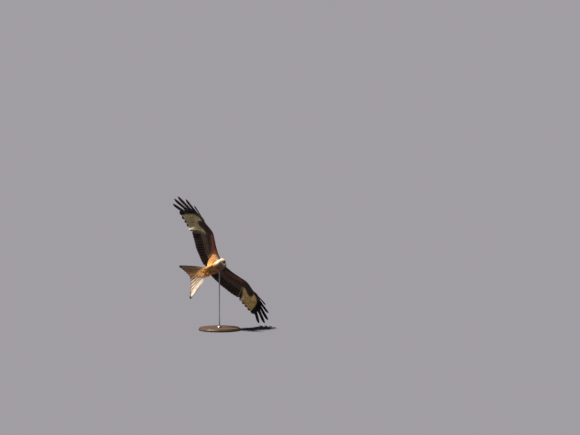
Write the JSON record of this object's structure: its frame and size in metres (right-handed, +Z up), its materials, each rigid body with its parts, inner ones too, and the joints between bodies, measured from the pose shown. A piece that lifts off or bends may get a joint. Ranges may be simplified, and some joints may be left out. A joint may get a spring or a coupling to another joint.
{
  "type": "red kite bird",
  "caption": "Life-size still model of a red kite in a banked turn, wings spread and forked tail fanned, on a plain display stand with a flat round base and one rod.",
  "frame": {"origin": "centre of the underside of the stand's base, straight below the point where the rod enters the bird's flank", "axes": "+Z up; +Y is the direction in which the picture's camera looks, so the bird's belly faces -Y, its right wing rises towards -X and its left wing falls towards +X"},
  "size_m": [0.8816, 0.5562, 1.2006],
  "materials": {
    "head_feathers": "soft feathers, greyish white with fine dark streaks",
    "body_feathers": "soft feathers, rufous orange with dark streaks",
    "wing_feathers": "feathers, dark brown and black with pale windows under the hands",
    "tail_feathers": "feathers, rufous with fine bars and dark corners",
    "bill": "horn, yellow at the base and black at the tip",
    "eye": "glossy amber iris with a black pupil",
    "foot_skin": "scaled yellow skin with black claws",
    "stand_wood": "dark stained wood, satin",
    "stand_steel": "satin"
  },
  "bodies": {
    "root": {"head": "head_feathers", "neck": "head_feathers", "bill_upper": "bill", "bill_lower": "bill", "eye_left": "eye", "eye_right": "eye", "torso": "body_feathers", "wing_left_arm": "wing_feathers", "wing_left_hand": "wing_feathers", "wing_right_arm": "wing_feathers", "wing_right_hand": "wing_feathers", "tail": "tail_feathers", "leg_left": "body_feathers", "leg_right": "body_feathers", "foot_left": "foot_skin", "foot_right": "foot_skin", "stand_base": "stand_wood", "stand_collar": "stand_steel", "stand_rod": "stand_steel"}
  },
  "joints": []
}
